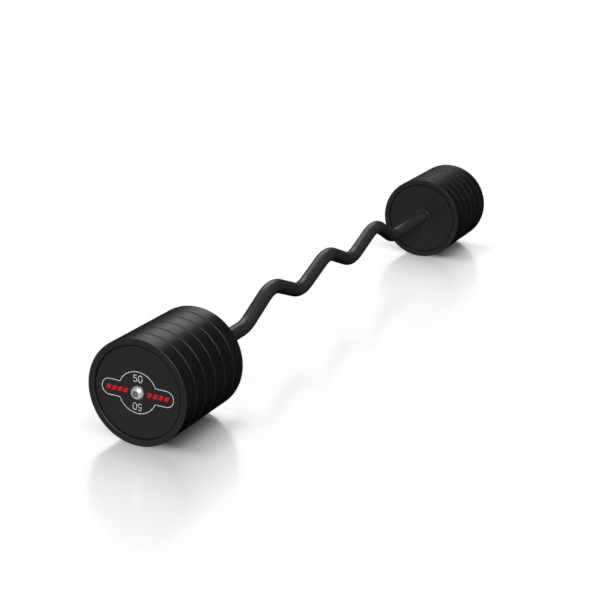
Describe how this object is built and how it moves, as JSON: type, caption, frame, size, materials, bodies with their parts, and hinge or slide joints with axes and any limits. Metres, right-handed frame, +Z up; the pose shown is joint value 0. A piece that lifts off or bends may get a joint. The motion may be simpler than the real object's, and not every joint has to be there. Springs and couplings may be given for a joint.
{
  "type": "fixed-weight curl barbell",
  "caption": "Zigzag curl bar with a head of stacked rubber-jacketed iron plates bolted on each end, for arm curls; its bends give angled grips and it rests on its round plates.",
  "frame": {"origin": "on the floor under the middle of the bar, halfway between the heads", "axes": "+X along the bar towards the head with the bare end face, +Z up, the bar's crests pointing up"},
  "size_m": [1.6086, 0.2, 0.2],
  "materials": {
    "bar_paint": "satin",
    "collar_paint": "satin",
    "core_iron": "matte",
    "jacket_rubber": "matte",
    "washer_steel": "satin",
    "bolt_steel": "satin",
    "badge_film": "satin"
  },
  "bodies": {
    "barbell": {"curl_bar": "bar_paint", "left_badge": "badge_film", "left_shoulder_collar": "collar_paint", "left_plate_core_1": "core_iron", "left_plate_jacket_1": "jacket_rubber", "left_plate_core_2": "core_iron", "left_plate_jacket_2": "jacket_rubber", "left_plate_core_3": "core_iron", "left_plate_jacket_3": "jacket_rubber", "left_plate_core_4": "core_iron", "left_plate_jacket_4": "jacket_rubber", "left_plate_core_5": "core_iron", "left_plate_jacket_5": "jacket_rubber", "left_plate_core_6": "core_iron", "left_plate_jacket_6": "jacket_rubber", "right_shoulder_collar": "collar_paint", "right_plate_core_1": "core_iron", "right_plate_jacket_1": "jacket_rubber", "right_plate_core_2": "core_iron", "right_plate_jacket_2": "jacket_rubber", "right_plate_core_3": "core_iron", "right_plate_jacket_3": "jacket_rubber", "right_plate_core_4": "core_iron", "right_plate_jacket_4": "jacket_rubber", "right_plate_core_5": "core_iron", "right_plate_jacket_5": "jacket_rubber", "right_plate_core_6": "core_iron", "right_plate_jacket_6": "jacket_rubber"},
    "left_washer": {"left_lock_washer": "washer_steel"},
    "left_bolt": {"left_end_bolt": "bolt_steel"},
    "right_washer": {"right_lock_washer": "washer_steel"},
    "right_bolt": {"right_end_bolt": "bolt_steel"}
  },
  "joints": [
    {"name": "left_bolt_withdraw", "type": "slide", "parent": "barbell", "child": "left_washer", "axis": [-1, 0, 0], "range_m": [0, 0.026]},
    {"name": "left_bolt_turn", "type": "hinge", "parent": "left_washer", "child": "left_bolt", "pos_m": [-0.7955, 0, 0.1], "axis": [-1, 0, 0], "range_deg": [0, 4680]},
    {"name": "right_bolt_withdraw", "type": "slide", "parent": "barbell", "child": "right_washer", "axis": [1, 0, 0], "range_m": [0, 0.026]},
    {"name": "right_bolt_turn", "type": "hinge", "parent": "right_washer", "child": "right_bolt", "pos_m": [0.7955, 0, 0.1], "axis": [1, 0, 0], "range_deg": [0, 4680]}
  ],
  "couplings": [
    {"joint": "left_bolt_turn", "follows": "left_bolt_withdraw", "rad_per_m": 3141.6},
    {"joint": "right_bolt_turn", "follows": "right_bolt_withdraw", "rad_per_m": 3141.6}
  ]
}
